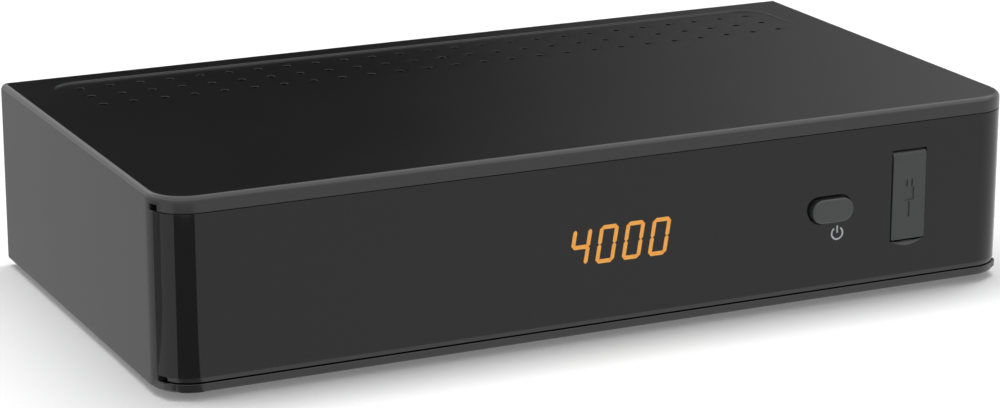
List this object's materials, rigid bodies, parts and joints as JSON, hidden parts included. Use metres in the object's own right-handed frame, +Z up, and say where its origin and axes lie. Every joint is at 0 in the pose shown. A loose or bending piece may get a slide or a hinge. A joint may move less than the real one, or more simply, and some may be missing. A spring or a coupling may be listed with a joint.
{
  "type": "satellite tv receiver",
  "caption": "Low black set-top satellite receiver with a glossy wrap-round front, amber digit display, power button, port flap, vented top and rear connector panel.",
  "frame": {"origin": "on the plane of the feet, below the middle of the overall box, which reaches from the button's face to the ends of the rear connectors", "axes": "+X to the right seen from the front, +Y from the front panel towards the rear connectors, +Z up"},
  "size_m": [0.22, 0.1286, 0.0468],
  "materials": {
    "satin_black": "satin",
    "gloss_black": "gloss",
    "key_grey": "satin",
    "flap_grey": "satin",
    "display_black": "gloss",
    "dark_lens": "gloss",
    "white_plastic": "satin",
    "grey_plastic": "satin",
    "black_plastic": "satin",
    "orange_plastic": "gloss",
    "tinned_steel": "satin",
    "nickel_plate": "gloss",
    "gold_plate": "gloss",
    "screw_steel": "satin",
    "black_steel": "matt",
    "circuit_green": "satin",
    "chip_black": "matt",
    "capacitor_sleeve": "gloss",
    "ferrite": "matt",
    "anodised_black": "satin",
    "foot_rubber": "matt"
  },
  "bodies": {
    "receiver": {"top_cover": "satin_black", "base_plate": "satin_black", "rear_panel": "black_steel", "rubber_feet": "foot_rubber", "cover_screws": "screw_steel", "front_panel": "gloss_black", "switch_body": "black_plastic", "usb_shell": "tinned_steel", "usb_tongue": "white_plastic", "front_board": "circuit_green", "front_board_screws": "screw_steel", "display_module": "display_black", "display_spacer": "white_plastic", "infrared_receiver": "dark_lens", "receiver_holder": "white_plastic", "ribbon_headers": "white_plastic", "ribbon_cable": "grey_plastic", "main_board": "circuit_green", "main_board_screws": "screw_steel", "tuner_can": "tinned_steel", "tuner_lid": "tinned_steel", "lnb_input_connector": "nickel_plate", "lnb_output_connector": "nickel_plate", "f_insulators": "white_plastic", "f_nuts": "nickel_plate", "scart_socket": "black_plastic", "hdmi_shell": "tinned_steel", "hdmi_tongue": "black_plastic", "audio_socket": "orange_plastic", "audio_ring": "nickel_plate", "ethernet_shield": "tinned_steel", "ethernet_jack": "black_plastic", "power_socket": "black_plastic", "power_pin": "nickel_plate", "main_processor": "chip_black", "heatsink": "anodised_black", "memory_chips": "chip_black", "flash_chip": "chip_black", "capacitors": "capacitor_sleeve", "inductors": "ferrite", "crystal": "tinned_steel", "card_reader": "black_plastic", "card_contacts": "gold_plate"},
    "power_button": {"power_button": "key_grey"},
    "switch_plunger": {"switch_plunger": "white_plastic"},
    "usb_flap": {"usb_flap": "flap_grey"}
  },
  "joints": [
    {"name": "button_press", "type": "slide", "parent": "receiver", "child": "power_button", "axis": [0, 1, 0], "range_m": [0, 0.0005], "stiffness_N_per_m": 800, "springref_m": -0.001},
    {"name": "plunger_press", "type": "slide", "parent": "receiver", "child": "switch_plunger", "axis": [0, 1, 0], "range_m": [0, 0.0005]},
    {"name": "flap_hinge", "type": "hinge", "parent": "receiver", "child": "usb_flap", "pos_m": [0.08035, -0.0612, 0.0346], "axis": [-1, 0, 0], "range_deg": [0, 95]}
  ],
  "couplings": [
    {"joint": "plunger_press", "follows": "button_press", "ratio": 1}
  ]
}
